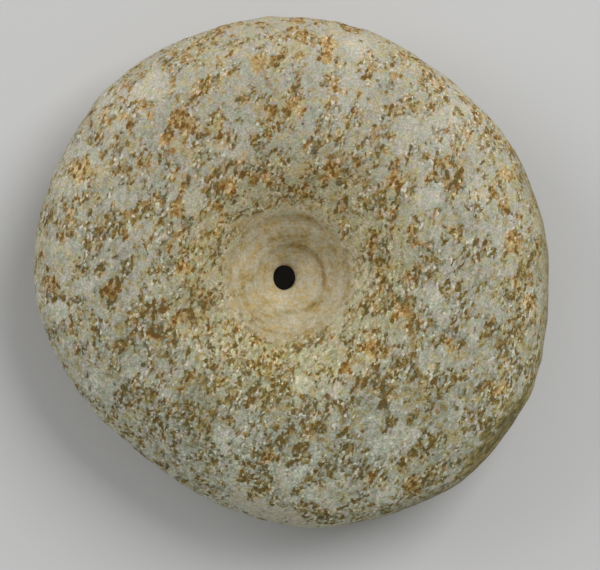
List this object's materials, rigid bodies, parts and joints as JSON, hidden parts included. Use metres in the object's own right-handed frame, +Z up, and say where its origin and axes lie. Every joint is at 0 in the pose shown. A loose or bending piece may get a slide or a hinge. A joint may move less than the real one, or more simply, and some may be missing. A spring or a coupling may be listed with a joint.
{
  "type": "spindle whorl",
  "caption": "Thick oval stone disc with a rounded rim, drilled from both faces as wide funnels that meet in a narrow off-centre throat.",
  "frame": {"origin": "on the resting face, under the middle of the outline's box", "axes": "+Z up through the throat and along the drilling, out of the dished upper face; +X to the right and +Y to the top of the picture, which looks down on that face"},
  "size_m": [0.0602, 0.0596, 0.017],
  "materials": {
    "stone": "weathered granular stone, pale grey and cream with orange-brown and olive flecks, matte, smooth and tan in the drilled funnel"
  },
  "bodies": {
    "root": {"whorl": "stone"}
  },
  "joints": []
}
